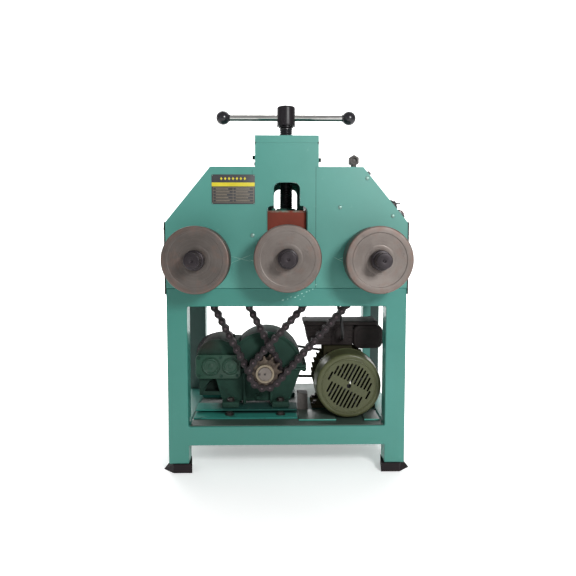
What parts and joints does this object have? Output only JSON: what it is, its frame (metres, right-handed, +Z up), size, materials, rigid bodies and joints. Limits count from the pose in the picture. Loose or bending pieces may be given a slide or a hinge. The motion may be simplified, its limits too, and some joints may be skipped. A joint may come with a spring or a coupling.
{
  "type": "electric ring roller",
  "caption": "Floor-standing electric ring and pipe roller: welded stand, roller head with a screw-fed middle roller, chain drive, gear reducer and motor.",
  "frame": {"origin": "centre of the footprint on the floor", "axes": "+Z up, rollers face -Y, operator's right is +X"},
  "size_m": [0.75, 0.717, 1.107],
  "materials": {
    "green_paint": "mint green machine paint, satin",
    "foot_rubber": "dusty black rubber",
    "shelf_steel": "dark grey sheet, oily",
    "gearcase_paint": "dark green paint on cast iron",
    "sprocket_steel": "oiled bare steel",
    "black_steel": "blackened steel",
    "belt_rubber": "matte black",
    "motor_paint": "olive enamel, glossy",
    "black_plastic": "black phenolic plastic",
    "box_plastic": "dark brown-black plastic",
    "cable_rubber": "matte black sheath",
    "button_red": "brown-red plastic",
    "red_oxide": "red oxide primer, matt",
    "screw_steel": "black oiled thread",
    "nut_bronze": "machined bronze",
    "bar_chrome": "polished bar",
    "shaft_steel": "dark oiled steel",
    "roller_steel": "turned grey-brown steel",
    "chain_steel": "dark oiled steel"
  },
  "bodies": {
    "machine_frame": {"stand_front": "green_paint", "stand_rear": "green_paint", "side_rail_low_left": "green_paint", "side_rail_low_right": "green_paint", "side_rail_top_left": "green_paint", "side_rail_top_right": "green_paint", "cross_rail": "green_paint", "foot_front_left": "foot_rubber", "foot_front_right": "foot_rubber", "foot_rear_left": "foot_rubber", "foot_rear_right": "foot_rubber", "shelf_plate": "shelf_steel", "channel_front": "green_paint", "channel_rear": "green_paint", "motor_base": "green_paint", "gearcase_lower": "gearcase_paint", "gearcase_upper": "gearcase_paint", "gearcase_end_plate": "gearcase_paint", "belt": "belt_rubber", "motor_body": "motor_paint", "fan_cover": "motor_paint", "terminal_box": "box_plastic", "capacitor_box": "box_plastic", "motor_cable": "cable_rubber", "front_plate": "green_paint", "right_cover_plate": "green_paint", "rear_plate": "green_paint", "top_plate": "green_paint", "tower_side_left": "green_paint", "tower_side_right": "green_paint", "head_cover_left": "green_paint", "head_cover_right": "green_paint", "shoulder_nut": "black_steel", "switch_base": "black_plastic", "switch_box": "black_plastic", "button_block": "black_plastic", "screw_nut": "nut_bronze", "left_chain": "chain_steel", "right_chain": "chain_steel"},
    "slide_unit": {"slide_block": "red_oxide"},
    "screw_unit": {"screw": "screw_steel", "handle_hub": "black_steel", "cross_bar": "bar_chrome", "ball_knob_left": "black_plastic", "ball_knob_right": "black_plastic"},
    "middle_roller_unit": {"middle_shaft": "shaft_steel", "middle_roller": "roller_steel"},
    "left_roller_unit": {"left_shaft": "shaft_steel", "left_roller": "roller_steel", "left_sprocket": "sprocket_steel"},
    "right_roller_unit": {"right_shaft": "shaft_steel", "right_roller": "roller_steel", "right_sprocket": "sprocket_steel"},
    "output_unit": {"output_shaft": "sprocket_steel", "double_sprocket": "sprocket_steel"},
    "input_unit": {"input_pulley": "black_steel"},
    "motor_rotor": {"motor_shaft": "black_steel", "cooling_fan": "black_plastic"},
    "lever_unit": {"switch_lever": "black_plastic"},
    "button_unit": {"push_button": "button_red"}
  },
  "joints": [
    {"name": "slide_lift", "type": "slide", "parent": "machine_frame", "child": "slide_unit", "axis": [0, 0, 1], "range_m": [-0.02, 0.17]},
    {"name": "screw_turn", "type": "hinge", "parent": "slide_unit", "child": "screw_unit", "pos_m": [0, -0.0385, 1], "axis": [0, 0, 1], "range_deg": [-1200, 10200]},
    {"name": "middle_turn", "type": "hinge", "parent": "slide_unit", "child": "middle_roller_unit", "pos_m": [0, -0.2485, 0.646], "axis": [0, 1, 0], "continuous": true},
    {"name": "left_turn", "type": "hinge", "parent": "machine_frame", "child": "left_roller_unit", "pos_m": [-0.254, -0.2485, 0.642], "axis": [0, 1, 0], "continuous": true, "deforming": ["left_chain", "right_chain"]},
    {"name": "right_turn", "type": "hinge", "parent": "machine_frame", "child": "right_roller_unit", "pos_m": [0.254, -0.2485, 0.642], "axis": [0, 1, 0], "continuous": true, "deforming": ["left_chain", "right_chain"]},
    {"name": "output_turn", "type": "hinge", "parent": "machine_frame", "child": "output_unit", "pos_m": [-0.06667, -0.051, 0.28135], "axis": [0, 1, 0], "continuous": true, "deforming": ["left_chain", "right_chain"]},
    {"name": "input_turn", "type": "hinge", "parent": "machine_frame", "child": "input_unit", "pos_m": [-0.2375, 0.1995, 0.289], "axis": [0, 1, 0], "continuous": true, "deforming": ["belt"]},
    {"name": "motor_turn", "type": "hinge", "parent": "machine_frame", "child": "motor_rotor", "pos_m": [0.192, 0.1995, 0.249], "axis": [0, 1, 0], "continuous": true, "deforming": ["belt"]},
    {"name": "lever_turn", "type": "hinge", "parent": "machine_frame", "child": "lever_unit", "pos_m": [0.31308, -0.1325, 0.7986], "axis": [0.7714, 0, 0.6364], "range_deg": [-45, 45]},
    {"name": "button_press", "type": "slide", "parent": "machine_frame", "child": "button_unit", "axis": [-0.7714, 0, -0.6364], "range_m": [0, 0.003], "stiffness_N_per_m": 400, "springref_m": -0.001}
  ],
  "couplings": [
    {"joint": "slide_lift", "follows": "screw_turn", "m_per_rad": 0.00095493},
    {"joint": "right_turn", "follows": "left_turn", "ratio": 1},
    {"joint": "output_turn", "follows": "left_turn", "ratio": 1},
    {"joint": "motor_turn", "follows": "input_turn", "ratio": 1.7442}
  ]
}
